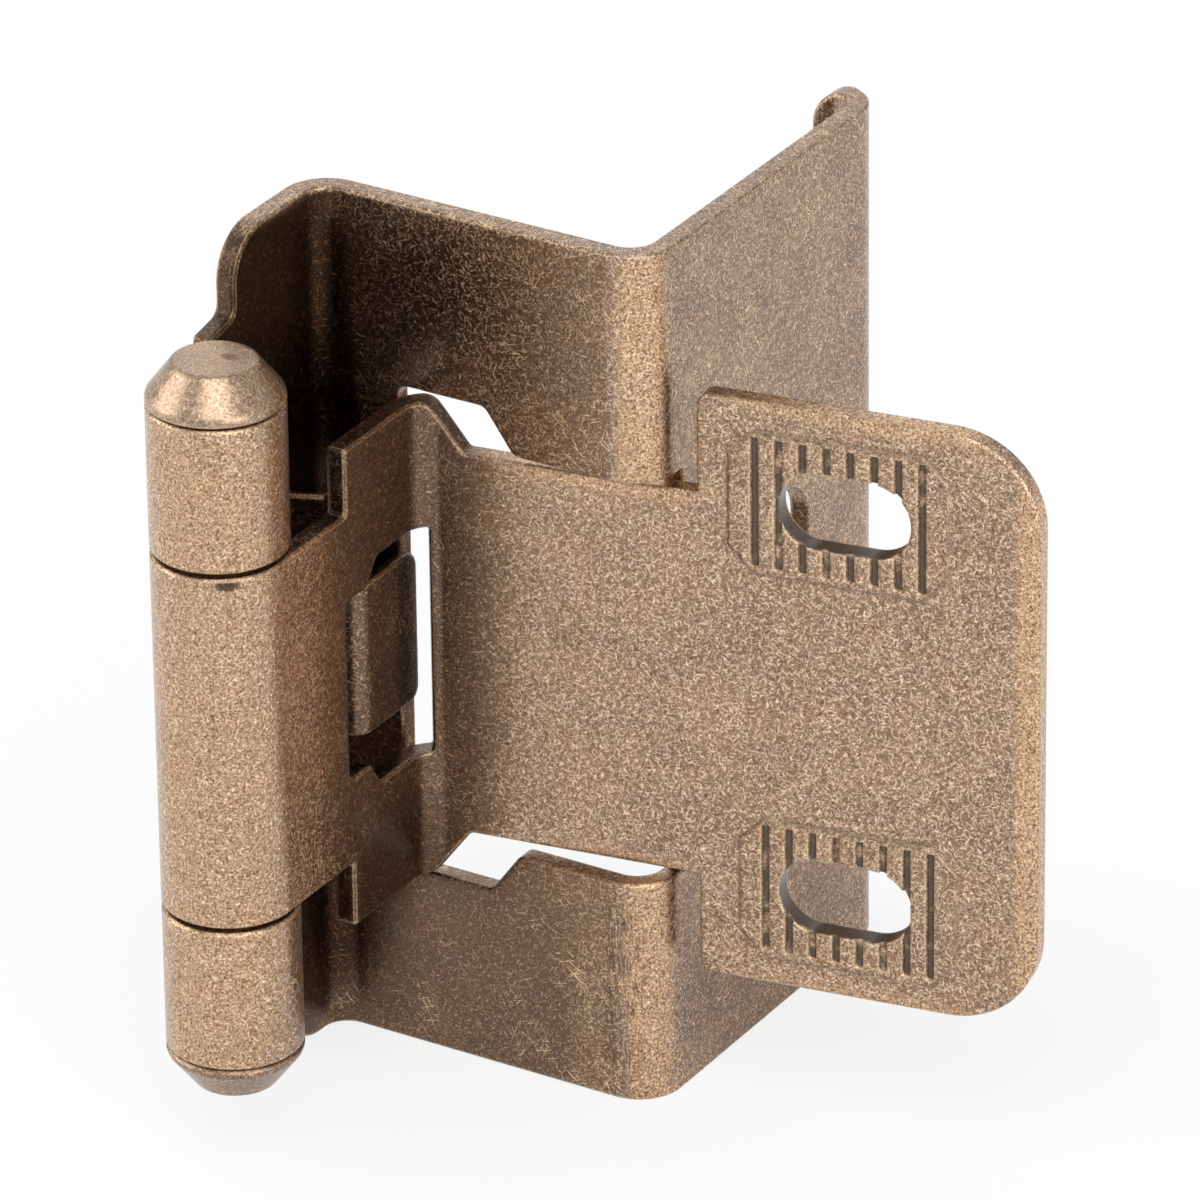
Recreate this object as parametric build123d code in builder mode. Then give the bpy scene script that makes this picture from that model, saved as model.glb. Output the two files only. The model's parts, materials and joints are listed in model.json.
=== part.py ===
from build123d import *
from build123d.topology import topo_explore_connected_faces
from math import cos, radians, sin, tan
import os

# A full wrap cabinet hinge for a 3/4 in face frame, in millimetres, with its own closing spring.
# The frame leaf, one folded sheet, carries the outer knuckles and wraps the face frame.
# The door leaf, another folded sheet, carries the middle knuckle and screws to the back of the door.
# Origin: on the frame leaf's seat against the face frame, behind the pin and at mid-height.
# X runs across the face frame towards the opening, Y into the cabinet, Z up along the pin.
# Sizes in plan are measured from the pin's axis, and heights from mid-height.

# Sheet and barrel
sheet = 1.05
edge_break = 0.1
bend_inside = 1.2
knuckle_radius = 3.2
roll_gap_angle = 58
end_knuckle = 7.15
knuckle_gap = 0.24

# Pin
pin_clearance = 0.05
head_radius = 3.2
head_height = 1.95
head_rim = 0.32
head_flat_radius = 1.95
head_gap = 0.15
tip_gap = 0.05
spigot_radius = 1.3
spigot_length = 1.0
spigot_clearance = 0.02

# Frame leaf
frame_half = 21.7
pin_to_web = 13.08
shoulder_drop = 5.4
shoulder_start = 2.75
strip_shoulder = 5.0
shoulder_rise = 1.2
shoulder_flare = 0.35
shoulder_round = 2.5
lower_shoulder = 7.4
lower_shoulder_round = 3.2
shoulder_fillet = 0.6
barrel_clearance = 1.0
jamb_inner = 14.3
face_frame_pocket = 19.3
flange_reach = 3.4
flange_corner = 1.9
window_tongue_gap = 0.35
horn_clearance = 0.25
window_tall_end = 6.5
window_slope = 1.55
neck_clearance = 0.5
window_corner = 0.6
leaf_stop_gap = 0.12
frame_slot_width = 4.0
frame_slot_length = 10.2
frame_slot_depth = 11.1

# Door leaf
plate_lean = 9.5
pin_to_plate = 11.0
horn_rise = 3.3
horn_start = 5.5
horn_end = 7.3
horn_shoulder = 2.4
horn_slope = 1.8
horn_round = 1.0
jamb_to_head = 3.35
head_length = 16.5
head_step = 5.05
head_outer_corner = 4.4
head_inner_corner = 0.7
door_slot_length = 6.45
door_slot_width = 3.8
door_slot_inset = 7.15
door_slot_margin = 5.0

# Toothed pads round the door leaf's slots
upper_pad_offset = -0.3
lower_pad_offset = 0.15
pad_length = 10.6
pad_height = 7.2
pad_chamfer = 1.25
pad_rise = 0.12
groove_count = 8
groove_pitch = 1.15
groove_width = 0.42
groove_depth = 0.22
groove_taper = 20
groove_margin = 0.3

# Spring window in the door leaf's strip
slot_start = 5.35
tongue_clearance = 0.2
tall_start = 8.0
tall_slope = 0.9
tall_step = 1.25
tall_bend_angle = 55
spring_window_corner = 0.45

# Closing spring
spring_sheet = 0.55
tongue_set_back = 0.45
tongue_half = 3.85
tongue_start = 7.6
tongue_end = 12.05
tongue_corner = 0.8
leaf_clearance = 0.25
leaf_angle = 24
leaf_step = 1.25
leaf_step_run = 0.45
leaf_bend_radius = 0.6
nose_clearance = 0.3
nose_radius = 0.5
nose_lip = 1.2
spring_lift = 0.5

# Worked out from the sizes above
half_sheet = sheet / 2
roll_radius = knuckle_radius - half_sheet
bore_radius = knuckle_radius - sheet
pin_radius = bore_radius - pin_clearance
bend_radius = bend_inside + half_sheet
roll_turn = 360 - roll_gap_angle
barrel_half = frame_half - shoulder_drop
frame_knuckle_start = barrel_half - end_knuckle
middle_half = frame_knuckle_start - knuckle_gap
horn_half = middle_half + horn_rise
neck_half = horn_half - horn_shoulder
head_half = neck_half + head_step
door_slot_height = head_half - door_slot_margin
slot_half = tongue_half + spring_lift + tongue_clearance
tall_half = slot_half + tall_step
leaf_half = frame_knuckle_start - spring_lift - leaf_clearance
web_line = pin_to_web - half_sheet
jamb_line = jamb_inner + half_sheet
jamb_outer = jamb_inner + sheet
head_start = jamb_outer + jamb_to_head
head_end = head_start + head_length
door_slot_centre = head_start + door_slot_inset
tongue_line = knuckle_radius - tongue_set_back - spring_sheet / 2
window_left = tongue_line - spring_sheet / 2 - window_tongue_gap
window_tall_half = horn_half + horn_clearance
flange_line = pin_to_web + face_frame_pocket + half_sheet
flange_end = jamb_outer - flange_reach
lean = radians(plate_lean)
plate_line = pin_to_plate + half_sheet
plate_back = pin_to_plate + sheet
door_corner = (plate_line + roll_radius * sin(lean)) / cos(lean)
door_bend_start = door_corner - bend_radius * tan((radians(90) - lean) / 2)
door_bend_centre = (roll_radius + bend_radius, door_bend_start)
leaf_stop = (plate_back + jamb_outer * sin(lean)) / cos(lean) + leaf_stop_gap
beyond = 2 * frame_half

# Planes through the pin's axis at mid-height: in plan, from the side, from the front and along the plate
pin_place = (0, -pin_to_web, 0)
plan = Plane(pin_place)
side = Plane(pin_place, x_dir=(0, 1, 0), z_dir=(1, 0, 0))
front = Plane(pin_place, x_dir=(1, 0, 0), z_dir=(0, -1, 0))
plate = Plane(pin_place, x_dir=(cos(lean), sin(lean), 0), z_dir=(sin(lean), -cos(lean), 0))
plate_face = plate.offset(-pin_to_plate)
along_plate = Axis(pin_place, (cos(lean), sin(lean), 0))
through_plate = Axis(pin_place, (sin(lean), -cos(lean), 0))

os.makedirs("parts", exist_ok=True)


def sharp_edges(part):
    found = []
    for edge in part.edges():
        sides = [Face(face) for face in topo_explore_connected_faces(edge, part)]
        normals = [side.normal_at(edge @ 0.5) for side in sides]
        if normals[0].get_angle(normals[-1]) > 30:
            found.append(edge)
    return found


# Frame leaf: rolled knuckles, strip, web, jamb and end flange are one bent sheet
with BuildPart() as frame_leaf:
    with BuildSketch(plan):
        with BuildLine():
            CenterArc((0, 0), roll_radius, 180 - roll_gap_angle, -roll_turn)
            FilletPolyline(
                (-roll_radius, 0),
                (-roll_radius, web_line),
                (jamb_line, web_line),
                (jamb_line, flange_line),
                (flange_end, flange_line),
                radius=bend_radius,
            )
        trace(line_width=sheet)
    extrude(amount=frame_half, both=True)

    # The strip narrows to the knuckles at its two shoulders
    for up, shoulder in ((1, strip_shoulder), (-1, lower_shoulder)):
        with BuildSketch(side):
            with BuildLine():
                Polyline(
                    (-2 * knuckle_radius, up * barrel_half),
                    (shoulder_start, up * barrel_half),
                    (shoulder_start + shoulder_flare, up * (barrel_half + shoulder_rise)),
                    (shoulder, up * (barrel_half + shoulder_rise + shoulder_flare)),
                    (shoulder, up * beyond),
                    (-2 * knuckle_radius, up * beyond),
                    close=True,
                )
            make_face()
        extrude(amount=2 * knuckle_radius, both=True, mode=Mode.SUBTRACT)

    # The rolled knuckles end square, clear of the pin's head and tip
    with BuildSketch(side.offset(-bore_radius)):
        with Locations((strip_shoulder, barrel_half)):
            Rectangle(beyond, beyond, align=(Align.MAX, Align.MIN))
        mirror(about=Plane.XZ)
    extrude(amount=2 * knuckle_radius, mode=Mode.SUBTRACT)

    # Room for the door leaf's knuckle between the two frame knuckles
    with BuildSketch(side):
        with Locations((knuckle_radius + barrel_clearance, 0)):
            Rectangle(beyond, 2 * frame_knuckle_start, align=(Align.MAX, Align.CENTER))
    extrude(amount=2 * knuckle_radius, both=True, mode=Mode.SUBTRACT)

    for up, shoulder, rounding in (
        (1, strip_shoulder, shoulder_round),
        (-1, lower_shoulder, lower_shoulder_round),
    ):
        step = shoulder - pin_to_web
        edges = frame_leaf.edges().filter_by(Axis.X).filter_by_position(Axis.Y, step - 0.01, step + 0.01)
        outer, root = edges.filter_by(lambda edge: up * edge.center().Z > 0).sort_by(
            lambda edge: -abs(edge.center().Z)
        )
        fillet(root, shoulder_fillet)
        edges = frame_leaf.edges().filter_by(Axis.X).filter_by_position(Axis.Y, step - 0.01, step + 0.01)
        outer = edges.filter_by(lambda edge: up * edge.center().Z > frame_half - 0.01)
        fillet(outer, rounding)

    # The web's window, which runs round the bend into the jamb and takes the door leaf's neck
    with BuildSketch(front.offset(2 * sheet - pin_to_web)):
        with BuildLine():
            Polyline(
                (window_left, 0),
                (window_left, window_tall_half),
                (window_tall_end, window_tall_half),
                (window_tall_end + window_slope, neck_half + neck_clearance),
                (jamb_outer + sheet, neck_half + neck_clearance),
                (jamb_outer + sheet, 0),
                close=True,
            )
        make_face()
        mirror(about=Plane.XZ)
        fillet(vertices(), window_corner)
    extrude(amount=pin_to_web - 2 * sheet - leaf_stop, mode=Mode.SUBTRACT)

    # Screw slot in the jamb, and the flange's rounded corners
    with BuildSketch(side.offset(jamb_inner - sheet)):
        with Locations((pin_to_web + frame_slot_depth, 0)):
            SlotOverall(frame_slot_length, frame_slot_width, rotation=90)
    extrude(amount=3 * sheet, mode=Mode.SUBTRACT)
    with BuildSketch(front.offset(bend_inside - face_frame_pocket - pin_to_web)):
        with Locations((flange_end, frame_half)):
            Rectangle(flange_corner, flange_corner, align=(Align.MIN, Align.MAX))
        with Locations((flange_end + flange_corner, frame_half - flange_corner)):
            Circle(flange_corner, mode=Mode.SUBTRACT)
        mirror(about=Plane.XZ)
    extrude(amount=-bend_inside - 2 * sheet, mode=Mode.SUBTRACT)
    chamfer(sharp_edges(frame_leaf.part), edge_break)
frame_leaf.part.label = "frame_leaf"
export_step(frame_leaf.part, "parts/frame_leaf.step")

# The spring's window: a narrow slot and a taller opening that ends part way round the bend
with BuildPart() as spring_window:
    with BuildSketch(side):
        with BuildLine():
            Polyline(
                (slot_start, -slot_half),
                (slot_start, slot_half),
                (tall_start - tall_slope, slot_half),
                (tall_start, tall_half),
                (beyond, tall_half),
                (beyond, -tall_half),
                (tall_start, -tall_half),
                (tall_start - tall_slope, -slot_half),
                close=True,
            )
        make_face()
        fillet(vertices(), spring_window_corner)
    extrude(amount=beyond)
    with BuildSketch(plan.offset(-tall_half)):
        window_reach = 2 * bend_radius
        with BuildLine():
            Polyline(
                (0, 0),
                (door_bend_centre[0], 0),
                door_bend_centre,
                (
                    door_bend_centre[0] - window_reach * cos(radians(tall_bend_angle)),
                    door_bend_centre[1] + window_reach * sin(radians(tall_bend_angle)),
                ),
                (0, door_bend_centre[1] + window_reach * sin(radians(tall_bend_angle))),
                close=True,
            )
        make_face()
    extrude(amount=2 * tall_half, mode=Mode.INTERSECT)

# Door leaf: rolled knuckle, strip with horns, bend and screw plate are one bent sheet
with BuildPart() as door_leaf:
    with BuildSketch(plan):
        with BuildLine():
            CenterArc((0, 0), roll_radius, roll_gap_angle, roll_turn)
            FilletPolyline(
                (roll_radius, 0),
                (roll_radius, door_corner),
                (
                    head_end * cos(lean) - plate_line * sin(lean),
                    head_end * sin(lean) + plate_line * cos(lean),
                ),
                radius=bend_radius,
            )
        trace(line_width=sheet)
    extrude(amount=head_half, both=True)

    # Outline of the strip: the knuckle's height, then the horns
    with BuildSketch(side):
        with BuildLine():
            Polyline(
                (-2 * knuckle_radius, middle_half),
                (horn_start, middle_half),
                (horn_start, horn_half),
                (beyond, horn_half),
                (beyond, beyond),
                (-2 * knuckle_radius, beyond),
                close=True,
            )
        make_face()
        mirror(about=Plane.XZ)
    extrude(amount=bend_radius + roll_radius, both=True, mode=Mode.SUBTRACT)

    # Outline of the plate: the horns slope down to the neck, and the head is wider
    with BuildSketch(plate_face):
        with BuildLine():
            FilletPolyline(
                (0, horn_half),
                (horn_end - horn_slope, horn_half),
                (horn_end, neck_half),
                radius=horn_round,
            )
            Polyline(
                (horn_end, neck_half),
                (head_start, neck_half),
                (head_start, beyond),
                (0, beyond),
                (0, horn_half),
            )
        make_face()
        mirror(about=Plane.XZ)
    extrude(amount=2 * sheet, both=True, mode=Mode.SUBTRACT)

    head_top = door_leaf.edges().filter_by(through_plate).group_by(Axis.Z)[-1].sort_by(along_plate)
    head_bottom = door_leaf.edges().filter_by(through_plate).group_by(Axis.Z)[0].sort_by(along_plate)
    fillet([head_top[-1], head_bottom[-1]], head_outer_corner)
    head_top = door_leaf.edges().filter_by(through_plate).group_by(Axis.Z)[-1].sort_by(along_plate)
    head_bottom = door_leaf.edges().filter_by(through_plate).group_by(Axis.Z)[0].sort_by(along_plate)
    fillet([head_top[0], head_bottom[0]], head_inner_corner)

    add(spring_window.part, mode=Mode.SUBTRACT)
    chamfer(sharp_edges(door_leaf.part), edge_break)

    # Coined pads, their grooves and the screw slots
    slot_places = [(door_slot_centre, -door_slot_height), (door_slot_centre, door_slot_height)]
    pad_places = [
        (door_slot_centre + lower_pad_offset, -door_slot_height),
        (door_slot_centre + upper_pad_offset, door_slot_height),
    ]
    with BuildSketch(plate_face):
        with Locations(*pad_places):
            Rectangle(pad_length, pad_height)
        chamfer(vertices(), pad_chamfer)
    extrude(amount=pad_rise)
    with BuildSketch(plate_face.offset(pad_rise)):
        with Locations(*pad_places):
            with GridLocations(groove_pitch, 1, groove_count, 1):
                Rectangle(groove_width, pad_height - 2 * groove_margin)
    extrude(amount=-groove_depth, taper=groove_taper, mode=Mode.SUBTRACT)
    with BuildSketch(plate_face):
        with Locations(*slot_places):
            SlotOverall(door_slot_length, door_slot_width)
    extrude(amount=2 * sheet, both=True, mode=Mode.SUBTRACT)

door_leaf.part.label = "door_leaf"
export_step(door_leaf.part, "parts/door_leaf.step")

# Hinge pin: a plain shank with a flat-topped button head and a spigot for the lower tip
head_base = barrel_half + head_gap
tip_base = barrel_half + tip_gap
with BuildPart() as hinge_pin:
    with BuildSketch(front):
        with BuildLine():
            Polyline(
                (0, head_base + head_height),
                (head_flat_radius, head_base + head_height),
                (head_radius, head_base + head_rim),
                (head_radius, head_base),
                (pin_radius, head_base),
                (pin_radius, -barrel_half),
                (spigot_radius, -barrel_half),
                (spigot_radius, -tip_base - spigot_length),
                (0, -tip_base - spigot_length),
                close=True,
            )
        make_face()
    revolve(axis=Axis(pin_place, (0, 0, 1)))
    head_edges = hinge_pin.edges().filter_by(GeomType.CIRCLE).group_by(Axis.Z)
    chamfer(head_edges[-1] + head_edges[-2], edge_break)
hinge_pin.part.label = "hinge_pin"
export_step(hinge_pin.part, "parts/hinge_pin.step")

# Pin tip: the head's own form turned over, pressed on to the spigot
with BuildPart() as pin_tip:
    with BuildSketch(front):
        with BuildLine():
            Polyline(
                (0, -tip_base - head_height),
                (head_flat_radius, -tip_base - head_height),
                (head_radius, -tip_base - head_rim),
                (head_radius, -tip_base),
                (spigot_radius + spigot_clearance, -tip_base),
                (spigot_radius + spigot_clearance, -tip_base - spigot_length - tip_gap),
                (0, -tip_base - spigot_length - tip_gap),
                close=True,
            )
        make_face()
    revolve(axis=Axis(pin_place, (0, 0, 1)))
    tip_edges = pin_tip.edges().filter_by(GeomType.CIRCLE)
    tip_edges = tip_edges.filter_by(lambda edge: edge.radius > pin_radius).group_by(Axis.Z)
    chamfer(tip_edges[0] + tip_edges[1], edge_break)
pin_tip.part.label = "pin_tip"
export_step(pin_tip.part, "parts/pin_tip.step")

# Closing spring: a leaf across the space between the strips, bent into a tongue in the window
nose_line = nose_clearance + spring_sheet / 2 - bore_radius
nose_start = tongue_start - (tongue_line - nose_line) * tan(radians(leaf_angle))
with BuildPart() as closing_spring:
    with BuildSketch(plan.offset(spring_lift)):
        with BuildLine():
            FilletPolyline(
                (nose_line, nose_start + nose_lip),
                (nose_line, nose_start),
                (tongue_line, tongue_start),
                (tongue_line, tongue_end),
                radius=[nose_radius, leaf_bend_radius],
            )
        trace(line_width=spring_sheet)
    extrude(amount=leaf_half, both=True)

    # The blank narrows from the leaf to the tongue, which passes through the window's slot
    with BuildSketch(front.offset(-tongue_start)):
        with BuildLine():
            Polyline(
                (leaf_step, leaf_half + spring_lift),
                (leaf_step + leaf_step_run, tongue_half + spring_lift),
                (beyond, tongue_half + spring_lift),
                (beyond, beyond),
                (leaf_step, beyond),
                close=True,
            )
        make_face()
        mirror(about=Plane.XZ.offset(-spring_lift))
    extrude(amount=beyond, both=True, mode=Mode.SUBTRACT)
    with BuildSketch(side.offset(-knuckle_radius)):
        with Locations((tongue_start + spring_sheet, spring_lift)):
            Rectangle(beyond, 2 * beyond, align=(Align.MIN, Align.CENTER))
            Rectangle(2 * beyond, 2 * tongue_half, mode=Mode.SUBTRACT)
    extrude(amount=beyond, mode=Mode.SUBTRACT)
    tongue_corners = closing_spring.edges().filter_by(Axis.X).group_by(Axis.Y)[-1]
    fillet(tongue_corners, tongue_corner)
    chamfer(sharp_edges(closing_spring.part), edge_break)
closing_spring.part.label = "closing_spring"
export_step(closing_spring.part, "parts/closing_spring.step")
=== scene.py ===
# Full wrap cabinet hinge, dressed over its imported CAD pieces: antique brass plating, soft white studio.
import json
import math

import bpy
import numpy as np
from mathutils import Matrix, Vector

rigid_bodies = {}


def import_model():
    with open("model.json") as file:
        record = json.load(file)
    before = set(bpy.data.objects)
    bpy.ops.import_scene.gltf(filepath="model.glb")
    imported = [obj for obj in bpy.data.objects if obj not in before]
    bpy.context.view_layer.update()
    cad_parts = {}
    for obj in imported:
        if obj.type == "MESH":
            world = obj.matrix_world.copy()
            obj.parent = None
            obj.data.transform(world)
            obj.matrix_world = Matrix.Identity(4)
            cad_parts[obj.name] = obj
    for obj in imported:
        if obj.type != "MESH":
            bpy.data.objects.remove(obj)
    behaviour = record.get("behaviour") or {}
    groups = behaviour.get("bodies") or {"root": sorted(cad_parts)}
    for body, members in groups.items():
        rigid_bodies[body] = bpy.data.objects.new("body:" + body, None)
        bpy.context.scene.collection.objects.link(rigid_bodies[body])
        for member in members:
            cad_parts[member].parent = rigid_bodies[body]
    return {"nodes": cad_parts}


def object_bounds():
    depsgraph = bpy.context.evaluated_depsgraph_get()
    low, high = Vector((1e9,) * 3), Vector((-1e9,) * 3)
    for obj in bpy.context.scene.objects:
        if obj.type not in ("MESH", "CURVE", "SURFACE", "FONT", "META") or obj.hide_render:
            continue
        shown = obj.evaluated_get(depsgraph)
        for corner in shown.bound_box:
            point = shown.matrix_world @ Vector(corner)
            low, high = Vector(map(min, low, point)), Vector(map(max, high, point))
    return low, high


for leftover in list(bpy.data.objects):
    bpy.data.objects.remove(leftover)

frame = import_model()
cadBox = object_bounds()
mm = 0.001
pinPlace = Vector((0.0, -13.08 * mm, 0.0))
noiseMiddle = 0.5
white = (1.0, 1.0, 1.0, 1.0)
print("frame loaded:", ", ".join(sorted(frame["nodes"])))


# Small helpers for building node trees

def addNode(tree, kind, **values):
    node = tree.nodes.new(kind)
    for name, value in values.items():
        setattr(node, name, value)
    return node


def setInputs(node, **values):
    for name, value in values.items():
        node.inputs[name.replace("_", " ")].default_value = value
    return node


def link(tree, output, node, socket):
    tree.links.new(output, node.inputs[socket])


def feed(tree, node, values):
    # a value is an output to link or a plain setting, and None leaves its socket alone
    for socket, value in values.items():
        if isinstance(value, bpy.types.NodeSocket):
            link(tree, value, node, socket)
        elif value is not None:
            node.inputs[socket].default_value = value


socketKinds = {"value": "NodeSocketFloat", "vector": "NodeSocketVector"}


def newGroup(name, inputs, outputs):
    # inputs give each socket's first value, outputs its kind
    tree = bpy.data.node_groups.new(name, "ShaderNodeTree")
    for socketName, value in inputs.items():
        kind = socketKinds["vector" if isinstance(value, tuple) else "value"]
        socket = tree.interface.new_socket(socketName, in_out="INPUT", socket_type=kind)
        socket.default_value = value
    for socketName, kind in outputs.items():
        tree.interface.new_socket(socketName, in_out="OUTPUT", socket_type=socketKinds[kind])
    return tree, addNode(tree, "NodeGroupInput").outputs, addNode(tree, "NodeGroupOutput")


def useGroup(tree, group, **values):
    node = addNode(tree, "ShaderNodeGroup", node_tree=group)
    return setInputs(node, **values)


def newMaterial(name):
    material = bpy.data.materials.new(name)
    material.use_nodes = True
    tree = material.node_tree
    tree.nodes.clear()
    return material, tree, addNode(tree, "ShaderNodeOutputMaterial")


def putInScene(name, data):
    holder = bpy.data.objects.new(name, data)
    bpy.context.scene.collection.objects.link(holder)
    return holder


def millimetres(values):
    return tuple(v * mm for v in values)


# Node arithmetic: each returns the output that holds the result

def maths(tree, operation, first, second=None, clamp=False):
    node = addNode(tree, "ShaderNodeMath", operation=operation, use_clamp=clamp)
    feed(tree, node, {0: first, 1: second})
    return node.outputs[0]


def plus(tree, first, second):
    return maths(tree, "ADD", first, second)


def minus(tree, first, second):
    return maths(tree, "SUBTRACT", first, second)


def times(tree, first, second):
    return maths(tree, "MULTIPLY", first, second)


def largest(tree, values):
    top = values[0]
    for value in values[1:]:
        top = maths(tree, "MAXIMUM", top, value)
    return top


def vectorMaths(tree, operation, *values):
    node = addNode(tree, "ShaderNodeVectorMath", operation=operation)
    feed(tree, node, dict(enumerate(values)))
    single = operation in ("DOT_PRODUCT", "LENGTH")
    return node.outputs["Value" if single else "Vector"]


def split(tree, vector):
    node = addNode(tree, "ShaderNodeSeparateXYZ")
    link(tree, vector, node, "Vector")
    return node.outputs


def smoothStep(tree, value, low, high, top=1.0):
    node = addNode(tree, "ShaderNodeMapRange", interpolation_type="SMOOTHSTEP")
    setInputs(node, From_Min=low, From_Max=high, To_Min=0.0, To_Max=top)
    link(tree, value, node, "Value")
    return node.outputs["Result"]


def mixValue(tree, factor, first, second):
    node = addNode(tree, "ShaderNodeMix", data_type="FLOAT")
    feed(tree, node, {"Factor": factor, "A": first, "B": second})
    return node.outputs["Result"]


def mixColour(tree, factor, first, second):
    # a colour mix keeps its factor, colours and result at sockets 0, 6, 7 and 2
    node = addNode(tree, "ShaderNodeMix", data_type="RGBA")
    first, second = ((*tone, 1.0) if isinstance(tone, tuple) else tone for tone in (first, second))
    feed(tree, node, {0: factor, 6: first, 7: second})
    return node.outputs[2]


def noise(tree, vector, scale, detail=2.0, roughness=0.5, distortion=0.0):
    node = addNode(tree, "ShaderNodeTexNoise")
    setInputs(node, Scale=scale, Detail=detail, Roughness=roughness, Distortion=distortion)
    link(tree, vector, node, "Vector")
    return node.outputs["Fac"]


def flatNoise(tree, vector, scale, detail):
    node = addNode(tree, "ShaderNodeTexNoise", noise_dimensions="2D")
    setInputs(node, Scale=scale, Detail=detail)
    link(tree, vector, node, "Vector")
    return node.outputs


# Marks drawn on the sheet: straight streaks, bent a little

def nudged(tree, sheet, size, amount):
    # P + amount noise(P/size)
    wave = flatNoise(tree, sheet, 1.0 / size, 1.0)
    return vectorMaths(tree, "MULTIPLY_ADD", wave["Color"], (amount, amount, 0.0), sheet)


def streaks(tree, sheet, angle, s):
    # flat noise at P/width + v (1/length - 1/width) (v.P), v at this angle: long one way, fine the other
    fine = 1.0 / s["width"]
    way = Vector((math.cos(math.radians(angle)), math.sin(math.radians(angle)), 0.0))
    reach = vectorMaths(tree, "DOT_PRODUCT", sheet, way * (1.0 / s["length"] - fine))
    across = vectorMaths(tree, "MULTIPLY", sheet, (fine, fine, fine))
    drawn = vectorMaths(tree, "MULTIPLY_ADD", reach, way, across)
    return smoothStep(tree, flatNoise(tree, drawn, 1.0, 0.0)["Fac"], *s["mask"])


def streakFan(tree, sheet, s):
    return largest(tree, [streaks(tree, sheet, angle, s) for angle in s["angles"]])


def patchyLines(tree, place, sheet, s):
    bent = nudged(tree, sheet, s["wanderSize"], s["wander"])
    patch = smoothStep(tree, noise(tree, place, 1.0 / s["patch"]), *s["patchMask"])
    return times(tree, streakFan(tree, bent, s["lines"]), patch)


# Sheet coordinates: the two object axes that lie best along the face, so marks keep their length on it

sheetSet = {"upward": 0.7}


def makeSheetGroup(s):
    tree, given, groupOut = newGroup(
        "sheetCoordinates", {"Vector": (0, 0, 0), "Normal": (0, 0, 1)}, {"Sheet": "vector"})
    place = split(tree, given["Vector"])
    facing = split(tree, vectorMaths(tree, "ABSOLUTE", given["Normal"]))
    sideways = maths(tree, "GREATER_THAN", facing["X"], facing["Y"])
    upward = maths(tree, "GREATER_THAN", facing["Z"], s["upward"])
    across = mixValue(tree, maths(tree, "SUBTRACT", sideways, upward, True), place["X"], place["Y"])
    along = mixValue(tree, upward, place["Z"], place["Y"])
    flat = addNode(tree, "ShaderNodeCombineXYZ")
    feed(tree, flat, {"X": across, "Y": along})
    link(tree, flat.outputs["Vector"], groupOut, "Sheet")
    return tree


# The plating's grain: a fine pepper, short pale flecks lying every way, upright pits and broad clouds

grain = {
    "pepperSize": 0.105 * mm, "pepperDetail": 1.0,
    "flecks": {"angles": (8, 44, 79, 115, 152), "length": 0.34 * mm, "width": 0.092 * mm, "mask": (0.61, 0.92)},
    "pits": {"angles": (66, 104), "length": 0.38 * mm, "width": 0.11 * mm, "mask": (0.70, 0.80)},
    "wander": 0.30 * mm, "wanderSize": 0.6 * mm,
    "cloudSize": 3.2 * mm, "cloudDetail": 3.0, "cloudRough": 0.6, "cloudTwist": 0.4,
}


def makeGrainGroup(s):
    tree, given, groupOut = newGroup(
        "platingGrain", {"Vector": (0, 0, 0), "Sheet": (0, 0, 0)},
        {"Pepper": "value", "Flecks": "value", "Clouds": "value", "Pits": "value"})
    place = given["Vector"]
    bent = nudged(tree, given["Sheet"], s["wanderSize"], s["wander"])
    feed(tree, groupOut, {
        "Pepper": noise(tree, place, 1.0 / s["pepperSize"], s["pepperDetail"]),
        "Flecks": streakFan(tree, bent, s["flecks"]),
        "Clouds": noise(tree, place, 1.0 / s["cloudSize"], s["cloudDetail"], s["cloudRough"], s["cloudTwist"]),
        "Pits": streakFan(tree, bent, s["pits"]),
    })
    return tree


# Relief: how far the dark oxide is rubbed back to bright metal; some spots also use it for painted shade in
# folds and painted highlights on rims and a corner. A spot fades it to a target round a centre:
# its mask follows |(P - centre) / reach| from 1 at the core to 0 at 1

spotSet = {"core": 0.45}


def makeSpotGroup(s):
    tree, given, groupOut = newGroup(
        "reliefSpot",
        {"Vector": (0, 0, 0), "Centre": (0, 0, 0), "Reach": (1, 1, 1), "Before": 1.0, "Target": 0.0},
        {"After": "value", "Mask": "value"})
    offset = vectorMaths(tree, "SUBTRACT", given["Vector"], given["Centre"])
    far = vectorMaths(tree, "LENGTH", vectorMaths(tree, "DIVIDE", offset, given["Reach"]))
    mask = minus(tree, 1.0, smoothStep(tree, far, s["core"], 1.0))
    after = mixValue(tree, mask, given["Before"], given["Target"])
    feed(tree, groupOut, {"After": after, "Mask": mask})
    return tree


# Drag marks: thin dark upright strokes inside a spot, uneven in length

drag = {
    "lines": {"angles": (92,), "length": 1.1 * mm, "width": 0.075 * mm, "mask": (0.44, 0.68)},
    "wander": 0.10 * mm, "wanderSize": 1.2 * mm, "patch": 1.6 * mm, "patchMask": (0.30, 0.58),
}


def makeDragGroup(s, spots):
    tree, given, groupOut = newGroup(
        "dragMarks", {"Vector": (0, 0, 0), "Sheet": (0, 0, 0), "Centre": (0, 0, 0), "Reach": (1, 1, 1)},
        {"Mark": "value"})
    spot = useGroup(tree, spots)
    feed(tree, spot, {socket: given[socket] for socket in ("Vector", "Centre", "Reach")})
    lines = patchyLines(tree, given["Vector"], given["Sheet"], s)
    link(tree, times(tree, lines, spot.outputs["Mask"]), groupOut, "Mark")
    return tree


# Handling scratches: thin pale hair lines, gathered in patches

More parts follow.
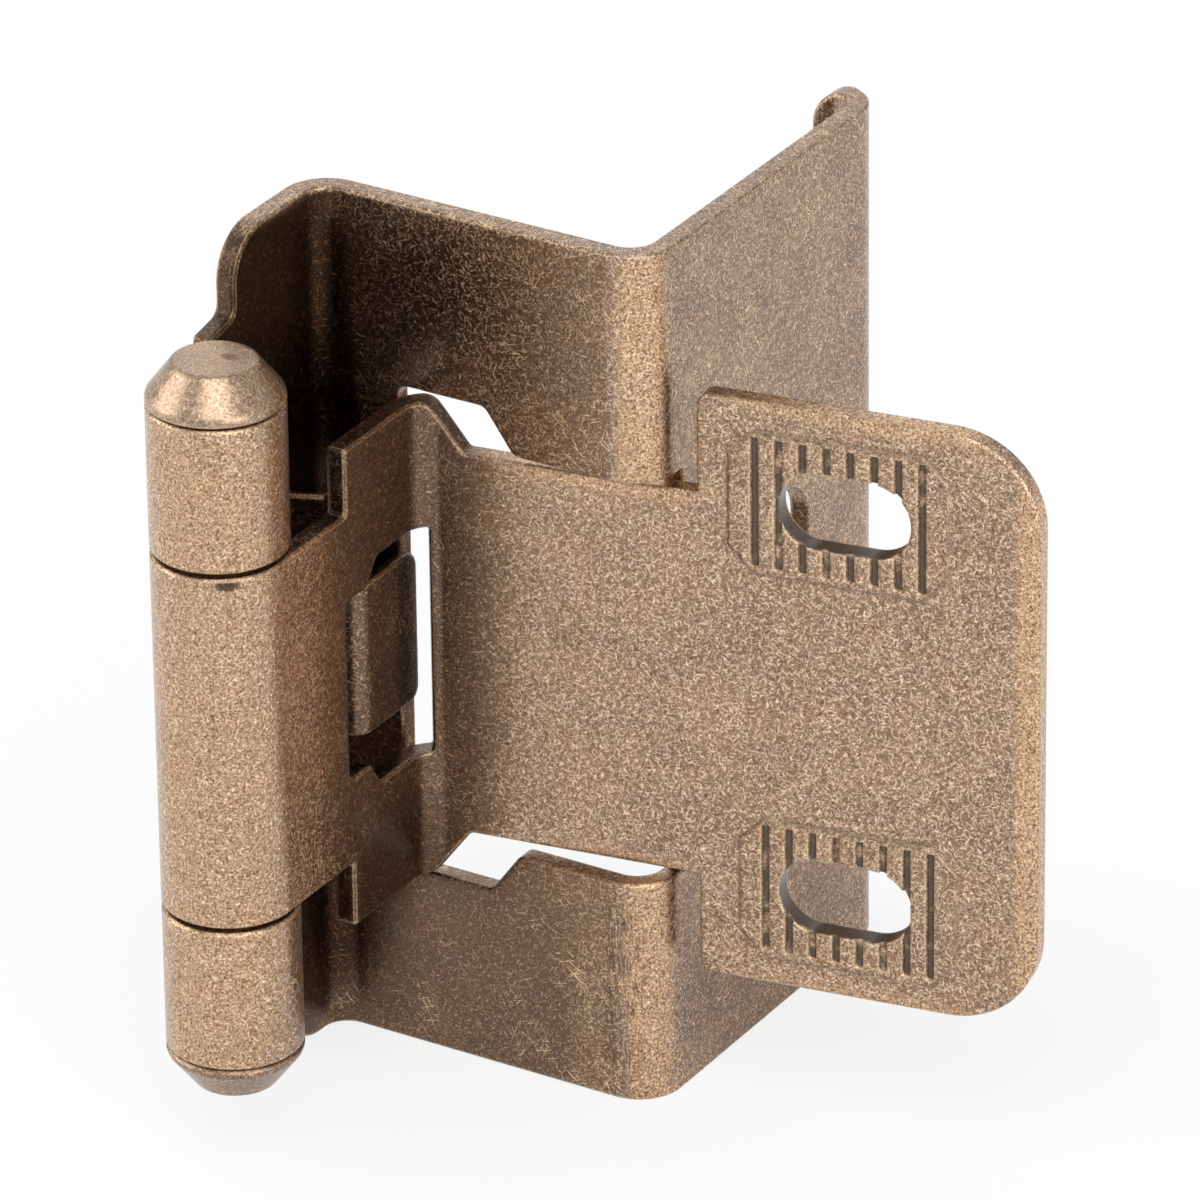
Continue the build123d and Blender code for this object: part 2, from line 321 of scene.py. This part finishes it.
scratch = {
    "lines": {"angles": (-34, 21, 66, 118), "length": 1.3 * mm, "width": 0.085 * mm, "mask": (0.77, 0.85)},
    "wander": 0.30 * mm, "wanderSize": 1.6 * mm, "patch": 2.2 * mm, "patchMask": (0.44, 0.64),
}


def makeScratchGroup(s):
    tree, given, groupOut = newGroup(
        "handlingScratches", {"Vector": (0, 0, 0), "Sheet": (0, 0, 0)}, {"Scratch": "value"})
    link(tree, patchyLines(tree, given["Vector"], given["Sheet"], s), groupOut, "Scratch")
    return tree


# Rounded edges: a bevelled normal, and a rub mask where it turns away from the flat face

rub = {"radius": 0.28 * mm, "samples": 6, "least": 0.5, "turn": (0.02, 0.20)}


def makeRubGroup(s):
    tree, given, groupOut = newGroup(
        "rubbedEdges", {"Breakup": noiseMiddle}, {"Normal": "vector", "Edge": "value"})
    bevel = addNode(tree, "ShaderNodeBevel", samples=s["samples"])
    setInputs(bevel, Radius=s["radius"])
    face = addNode(tree, "ShaderNodeNewGeometry")
    cosine = vectorMaths(tree, "DOT_PRODUCT", bevel.outputs["Normal"], face.outputs["Normal"])
    broken = times(tree, minus(tree, 1.0, cosine), plus(tree, given["Breakup"], s["least"]))
    feed(tree, groupOut, {"Normal": bevel.outputs["Normal"], "Edge": smoothStep(tree, broken, *s["turn"])})
    return tree


sheetGroup = makeSheetGroup(sheetSet)
grainGroup = makeGrainGroup(grain)
spotGroup = makeSpotGroup(spotSet)
dragGroup = makeDragGroup(drag, spotGroup)
scratchGroup = makeScratchGroup(scratch)
rubGroup = makeRubGroup(rub)
print("finish groups built")


# Plating: oxide rubbed back to metal by the relief, under flecks, scratches, rubbed edges, pits and pepper; the
# relief also carries painted shade and painted highlights, and the pads get painted shade

def placedReliefAndPaintedLight(tree, place, clouds, s):
    # the piece's own level, swung by the clouds, then faded to each spot in turn
    reliefAndPaintedLight = plus(tree, times(tree, minus(tree, clouds, noiseMiddle), s["cloud"]), s["reliefAndPaintedLight"])
    for centre, reach, target in s["spots"]:
        spot = useGroup(tree, spotGroup, Centre=millimetres(centre), Reach=millimetres(reach), Target=target)
        feed(tree, spot, {"Vector": place, "Before": reliefAndPaintedLight})
        reliefAndPaintedLight = spot.outputs["After"]
    return reliefAndPaintedLight


def siftedFlecks(tree, flecks, reliefAndPaintedLight, shine, s):
    # where few flecks are left, only the strongest show: flecks ** (1 + sift (1 - share))
    share = maths(tree, "ADD", smoothStep(tree, reliefAndPaintedLight, *s["fleckRise"]), s["fleckInFold"], True)
    share = maths(tree, "SUBTRACT", share, times(tree, shine, s["fleckInShine"]), True)
    power = plus(tree, times(tree, minus(tree, 1.0, share), s["sift"]), 1.0)
    sifted = maths(tree, "POWER", flecks, power)
    return times(tree, sifted, maths(tree, "POWER", share, s["fleckFade"]))


def peppered(tree, colour, pepper, shine, s):
    swing = plus(tree, times(tree, shine, s["pepperInShine"]), s["pepper"])
    specks = plus(tree, times(tree, minus(tree, pepper, noiseMiddle), swing), 1.0)
    specks = maths(tree, "MAXIMUM", specks, s["pepperFloor"])
    # dark specks are browner and pale ones greyer: specks (1 - hue) + hue, channel by channel
    rest = tuple(1.0 - hue for hue in s["speckHue"])
    tint = vectorMaths(tree, "MULTIPLY_ADD", specks, rest, s["speckHue"])
    return vectorMaths(tree, "MULTIPLY", colour, tint)


# Painted shade on the toothed pads: grooves and slot walls darkened by their depth, and a painted shadow along
# each pad's foot
def padRecessShade(tree, place, s):
    # a = distance along the plate from the pad's middle, h = distance from it in height,
    # depth = how far below the plate's front
    lean = math.radians(s["lean"])
    pin = pinPlace.y / mm
    along = vectorMaths(tree, "DOT_PRODUCT", place, (math.cos(lean), math.sin(lean), 0.0))
    into = vectorMaths(tree, "DOT_PRODUCT", place, (-math.sin(lean), math.cos(lean), 0.0))
    depth = minus(tree, into, (s["face"] + pin * math.cos(lean)) * mm)
    height = split(tree, place)["Z"]
    h = maths(tree, "ABSOLUTE", minus(tree, maths(tree, "ABSOLUTE", height), s["height"] * mm))
    lower, upper = ((middle + pin * math.sin(lean)) * mm for middle in s["middles"])
    middle = plus(tree, times(tree, maths(tree, "GREATER_THAN", height, 0.0), upper - lower), lower)
    a = maths(tree, "ABSOLUTE", minus(tree, along, middle))

    # distance outside the pad's cut-cornered outline, and the painted shadow along its foot
    cut = minus(tree, plus(tree, a, h), s["corner"] * mm)
    outline = largest(tree, [minus(tree, a, s["halfLength"] * mm), minus(tree, h, s["halfHeight"] * mm),
                             times(tree, cut, math.sqrt(0.5))])
    inside = maths(tree, "LESS_THAN", outline, 0.0)
    fade = smoothStep(tree, maths(tree, "ABSOLUTE", outline), 0.0, s["footWidth"] * mm, s["footShadow"])
    breakup = smoothStep(tree, noise(tree, place, 1.0 / (s["breakup"] * mm)), *s["breakupMask"])
    footShadow = times(tree, minus(tree, s["footShadow"], fade), breakup)
    # grooves and slot walls darkened by depth: painted shade in the recesses
    groove = times(tree, smoothStep(tree, depth, *millimetres(s["deep"]), s["amount"]), breakup)
    wall = smoothStep(tree, depth, *millimetres(s["wall"]), s["amount"])
    hollow = times(tree, maths(tree, "MAXIMUM", groove, wall), inside)
    front = maths(tree, "LESS_THAN", depth, s["back"] * mm)
    return times(tree, maths(tree, "MAXIMUM", hollow, footShadow), front)


def makePlating(name, s):
    material, tree, out = newMaterial(name)
    shader = addNode(tree, "ShaderNodeBsdfPrincipled")
    setInputs(shader, Metallic=1.0, Coat_Roughness=s["coatRough"], Coat_IOR=s["coatIor"])
    link(tree, shader.outputs["BSDF"], out, "Surface")

    where = addNode(tree, "ShaderNodeTexCoord")
    place = where.outputs["Object"]
    sheetNode = useGroup(tree, sheetGroup)
    feed(tree, sheetNode, {"Vector": place, "Normal": where.outputs["Normal"]})
    sheet = sheetNode.outputs["Sheet"]
    grainNode = useGroup(tree, grainGroup)
    scratchNode = useGroup(tree, scratchGroup)
    for node in (grainNode, scratchNode):
        feed(tree, node, {"Vector": place, "Sheet": sheet})
    grains = grainNode.outputs
    scratches = scratchNode.outputs["Scratch"]
    rubs = useGroup(tree, rubGroup)
    link(tree, grains["Pepper"], rubs, "Breakup")

    reliefAndPaintedLight = placedReliefAndPaintedLight(tree, place, grains["Clouds"], s)
    shine = smoothStep(tree, reliefAndPaintedLight, *s["shineRise"])
    metal = mixColour(tree, smoothStep(tree, grains["Clouds"], *s["greyBand"]), s["grey"], s["metal"])
    colour = mixColour(tree, reliefAndPaintedLight, s["oxide"], metal)
    # polished metal where the relief runs high; on the door leaf's rims this is partly a painted highlight
    colour = mixColour(tree, shine, colour, s["polish"])
    outside = smoothStep(tree, reliefAndPaintedLight, *s["scratchRise"], s["scratchTop"])
    layers = [
        (siftedFlecks(tree, grains["Flecks"], reliefAndPaintedLight, shine, s), s["fleck"],
         mixColour(tree, reliefAndPaintedLight, s["gold"], s["pale"])),
        (times(tree, scratches, outside), s["scratch"], s["bright"]),
        (rubs.outputs["Edge"], s["edge"], s["bright"]),
        (times(tree, grains["Pits"], shine), s["pit"], s["oxide"]),
    ]
    for centre, reach, amount in s["drags"]:
        marks = useGroup(tree, dragGroup, Centre=millimetres(centre), Reach=millimetres(reach))
        feed(tree, marks, {"Vector": place, "Sheet": sheet})
        layers.append((marks.outputs["Mark"], amount, s["oxide"]))
    for mask, amount, tone in layers:
        colour = mixColour(tree, times(tree, mask, amount), colour, tone)
    colour = peppered(tree, colour, grains["Pepper"], shine, s)
    # relief under 0 darkens the colour below the oxide: painted shade in a fold
    paintedFoldShade = plus(tree, maths(tree, "MINIMUM", reliefAndPaintedLight, 0.0), 1.0)
    colour = vectorMaths(tree, "MULTIPLY", colour, paintedFoldShade)
    # painted shade in the pads' grooves and slot walls, and a painted shadow along their foot
    if "pads" in s:
        colour = mixColour(tree, padRecessShade(tree, place, s["pads"]), colour, s["pads"]["colour"])

    bump = addNode(tree, "ShaderNodeBump")
    setInputs(bump, Strength=s["bump"], Distance=s["bumpDepth"] * mm)
    feed(tree, bump, {"Height": grains["Pepper"], "Normal": rubs.outputs["Normal"]})
    cuts = maths(tree, "MAXIMUM", grains["Flecks"], scratches)
    feed(tree, shader, {
        "Base Color": colour,
        "Roughness": plus(tree, times(tree, cuts, s["roughInFleck"]), s["rough"]),
        "Coat Weight": smoothStep(tree, reliefAndPaintedLight, *s["coatRise"], s["coat"]),
        "Normal": bump.outputs["Normal"],
    })
    return material


plating = {
    "oxide": (0.060, 0.033, 0.020), "metal": (0.335, 0.199, 0.111), "grey": (0.290, 0.184, 0.117),
    "gold": (0.760, 0.480, 0.250), "pale": (0.830, 0.635, 0.475), "bright": (0.820, 0.600, 0.390),
    "polish": (0.570, 0.362, 0.212), "speckHue": (0.12, 0.0, -0.12),
    "reliefAndPaintedLight": 0.86, "cloud": 0.30, "greyBand": (0.38, 0.62), "shineRise": (0.88, 1.30),
    "fleck": 1.0, "fleckInFold": 0.08, "fleckRise": (0.10, 0.85), "fleckInShine": 0.50, "fleckFade": 0.5,
    "sift": 2.5, "pepper": 2.3, "pepperInShine": 1.1, "pepperFloor": 0.30, "pit": 0.45,
    "scratch": 0.70, "scratchRise": (0.05, 0.45), "scratchTop": 0.85, "edge": 0.75,
    "rough": 0.28, "roughInFleck": 0.22, "bump": 0.12, "bumpDepth": 0.02,
    "coat": 0.4, "coatRise": (-0.30, 0.30), "coatRough": 0.22, "coatIor": 1.5,
    "spots": (), "drags": (),
}

# spots: centre, reach and relief in the middle; drags: centre, reach and strength; in millimetres
frameLeafFinish = dict(
    plating, reliefAndPaintedLight=0.66, scratch=1.0, fleck=0.85,
    gold=(0.830, 0.510, 0.255), pale=(0.800, 0.640, 0.510), bright=(0.900, 0.640, 0.390),
    spots=(
        ((6.0, -1.0, 0.0), (12.0, 2.6, 60.0), 0.56),         # web; the next spot darkens its bottom as painted shade
        ((6.0, -1.0, -17.0), (12.0, 2.6, 9.0), 0.38),
        ((13.0, -0.6, -17.0), (3.2, 2.4, 9.0), 0.60),
        ((14.7, -0.5, 0.0), (1.9, 2.2, 60.0), 1.22),         # outer bend to the jamb
        ((15.3, 9.0, -17.0), (2.5, 9.0, 9.0), 0.54),         # lower jamb, darker than its top as painted shade
        ((-1.5, -4.5, 12.0), (8.0, 9.5, 22.0), 0.11),        # fold of strip and web: oxide in the hollow, partly painted shade; the spots under 0 below are painted shade
        ((2.0, -1.0, 13.0), (4.0, 1.2, 12.0), 0.54),
        ((-1.5, -4.5, -14.0), (6.0, 7.5, 12.0), 0.10),
        ((-1.7, -1.7, 8.5), (1.9, 1.9, 16.0), -0.28),
        ((-1.7, -1.7, -14.0), (2.0, 2.0, 7.0), -0.30),
        ((-1.75, -1.45, 6.0), (1.05, 1.05, 22.0), -0.75),    # inside of the bend, painted shade
        ((-2.0, -7.0, 12.0), (0.6, 9.0, 22.0), -0.22),       # inside of the strip, painted shade
        ((0.7, -1.0, 20.7), (2.9, 1.4, 2.1), 0.62),          # painted reflection: a pale patch at the top of the corner
        ((0.0, -14.6, 0.0), (5.6, 4.6, 60.0), 1.16),         # rolled knuckles
        ((6.0, -0.5, 22.0), (18.0, 2.5, 0.9), 0.72),         # upper cut edges
        ((-2.7, -4.0, 22.0), (1.6, 8.0, 1.0), 0.68),
    ),
    drags=(
        ((13.5, -1.0, -16.0), (1.5, 1.5, 7.5), 0.62),        # beside the lower bend
        ((15.35, 6.5, 16.1), (0.5, 0.7, 1.7), 0.45),         # on the jamb
    ))

doorLeafFinish = dict(
    plating, edge=0.90,
    spots=(
        ((3.0, -4.0, 0.0), (6.8, 8.0, 60.0), 0.27),          # fold of strip and plate: oxide in the hollow, partly painted shade
        ((3.0, -4.0, 11.5), (3.5, 5.5, 5.0), 0.27),          # upper horn, oxide partly painted shade
        ((3.0, -4.0, -11.5), (3.5, 5.5, 5.0), 0.12),         # lower horn, darker than the upper one as painted shade
        ((0.0, -14.6, 0.0), (5.6, 4.8, 60.0), 1.12),         # rolled knuckle
        ((12.5, 0.2, 9.9), (7.5, 3.0, 1.15), 1.30),          # rims of the plate and its head: polished by wear and partly a painted highlight, brighter on the upper rims
        ((12.5, 0.2, -9.9), (7.5, 3.0, 1.15), 1.06),
        ((25.0, 2.3, 15.1), (11.0, 4.0, 1.25), 1.30),
        ((25.0, 2.3, -15.1), (11.0, 4.0, 1.25), 1.12),
        ((32.8, 3.6, 0.0), (1.4, 2.0, 60.0), 1.26),
        ((2.0, -15.6, 8.6), (0.9, 0.7, 0.35), 0.15),         # scuff on the barrel
    ),
    drags=(
        ((10.2, -0.2, 1.5), (1.9, 0.7, 1.9), 0.40),          # on the neck
    ),
    # the toothed pads round the screw slots, lower then upper: lean in degrees, lengths in millimetres
    pads={
        "lean": 9.5, "face": 11.0, "middles": (26.0, 25.55), "height": 9.86,
        "halfLength": 5.3, "halfHeight": 3.6, "corner": 7.65,
        "deep": (0.0, 0.07), "wall": (0.12, 0.20), "back": 1.0, "amount": 0.90,
        "footShadow": 0.52, "footWidth": 0.22, "breakup": 1.1, "breakupMask": (0.30, 0.50),
        # colour of the painted shade and painted shadow on the pads
        "colour": (0.085, 0.060, 0.046),
    })

pinFinish = dict(
    plating, reliefAndPaintedLight=1.02, fleck=0.5, pepper=1.6, polish=(0.680, 0.500, 0.350),
    spots=(
        ((0.53, -12.62, 18.4), (0.55, 0.35, 0.4), 0.45),     # dent in the head's flat
    ))

tipFinish = dict(plating, reliefAndPaintedLight=0.62, fleck=0.6, metal=(0.355, 0.222, 0.147), grey=(0.330, 0.212, 0.147))

springFinish = dict(
    plating, reliefAndPaintedLight=0.32,
    drags=(
        ((2.75, -2.2, 0.0), (1.4, 1.4, 6.0), 0.7),           # on the tongue
    ))

finishes = {
    "frame_leaf": ("frameLeafPlating", frameLeafFinish),
    "door_leaf": ("doorLeafPlating", doorLeafFinish),
    "hinge_pin": ("pinPlating", pinFinish),
    "pin_tip": ("tipPlating", tipFinish),
    "closing_spring": ("springPlating", springFinish),
}
for node, (name, settings) in finishes.items():
    mesh = frame["nodes"][node].data
    mesh.materials.clear()
    mesh.materials.append(makePlating(name, settings))
print("plating on", len(finishes), "pieces")


# Floor: a pale sheet under the lower edge of the frame leaf, white to the camera but for a soft shadow

floorSet = {"half": 4.0, "gap": 0.02 * mm, "colour": (0.92, 0.92, 0.92), "white": 0.8, "whiteInMetal": 0.35}


def makeFloor(s):
    level = cadBox[0].z - s["gap"]
    h = s["half"]
    mesh = bpy.data.meshes.new("paleFloor")
    mesh.from_pydata([(-h, -h, level), (h, -h, level), (h, h, level), (-h, h, level)], [], [(0, 1, 2, 3)])
    floor = putInScene("paleFloor", mesh)
    material, tree, out = newMaterial("paleFloor")
    matt = addNode(tree, "ShaderNodeBsdfDiffuse")
    setInputs(matt, Color=(*s["colour"], 1.0))
    glow = addNode(tree, "ShaderNodeEmission")
    setInputs(glow, Color=white, Strength=1.0)
    path = addNode(tree, "ShaderNodeLightPath").outputs
    seen = maths(tree, "MAXIMUM", path["Is Camera Ray"], path["Is Transmission Ray"])
    mirrored = times(tree, path["Is Glossy Ray"], s["whiteInMetal"])
    share = maths(tree, "MAXIMUM", times(tree, seen, s["white"]), mirrored)
    mix = addNode(tree, "ShaderNodeMixShader")
    feed(tree, mix, {0: share, 1: matt.outputs["BSDF"], 2: glow.outputs["Emission"]})
    link(tree, mix.outputs["Shader"], out, "Surface")
    mesh.materials.append(material)


makeFloor(floorSet)


# Studio: white surround and four soft boxes, aimed at the middle of the hinge, in metres and watts

studio = {
    "surround": 0.65,
    "boxes": {
        "leftBox": {"place": (-0.55, -0.30, 0.25), "size": 0.50, "watts": 1.6},
        "rightBox": {"place": (0.60, -0.30, 0.22), "size": 0.45, "watts": 1.4},
        "topBox": {"place": (0.20, -0.34, 0.56), "size": 0.50, "watts": 1.6},
        "backBox": {"place": (-0.40, 0.65, 0.40), "size": 0.60, "watts": 0.50},
    },
}


def makeStudio(s):
    world = bpy.data.worlds.new("whiteSurround")
    bpy.context.scene.world = world
    world.use_nodes = True
    setInputs(world.node_tree.nodes["Background"], Color=white, Strength=s["surround"])
    middle = (cadBox[0] + cadBox[1]) / 2
    for name, box in s["boxes"].items():
        lamp = bpy.data.lights.new(name, "AREA")
        lamp.shape = "SQUARE"
        lamp.size = box["size"]
        lamp.energy = box["watts"]
        holder = putInScene(name, lamp)
        holder.location = Vector(box["place"])
        holder.rotation_mode = "QUATERNION"
        holder.rotation_quaternion = (middle - holder.location).to_track_quat("-Z", "Y")


makeStudio(studio)
print("floor and soft boxes set")


# Camera at the photograph's angle: offset is where the pin's middle lies from the lens, right, down and away

view = {
    "azimuth": 31.558, "elevation": 27.062, "roll": -0.734, "lens": 315.0, "sensor": 36.0, "clipStart": 0.05,
    "offset": (-16.969, 5.616, 476.176),
}


def makeCamera(s):
    a, e, r = (math.radians(s[k]) for k in ("azimuth", "elevation", "roll"))
    right = np.array([math.cos(a), math.sin(a), 0.0])
    away = np.array([-math.sin(a) * math.cos(e), math.cos(a) * math.cos(e), -math.sin(e)])
    down = -np.cross(right, away)
    turn = np.array([[math.cos(r), -math.sin(r)], [math.sin(r), math.cos(r)]])
    right, down = turn @ np.array([right, down])
    axes = np.array([right, down, away])
    place = np.array(pinPlace) - axes.T @ (np.array(s["offset"]) * mm)
    lens = bpy.data.cameras.new("photoView")
    lens.lens = s["lens"]
    lens.sensor_width = s["sensor"]
    lens.clip_start = s["clipStart"]
    camera = putInScene("photoView", lens)
    turned = Matrix(np.array([right, -down, -away]).T.tolist()).to_4x4()
    camera.matrix_world = Matrix.Translation(Vector(place.tolist())) @ turned
    bpy.context.scene.camera = camera


makeCamera(view)
bpy.context.scene.view_settings.view_transform = "Standard"

print("hinge dressed")
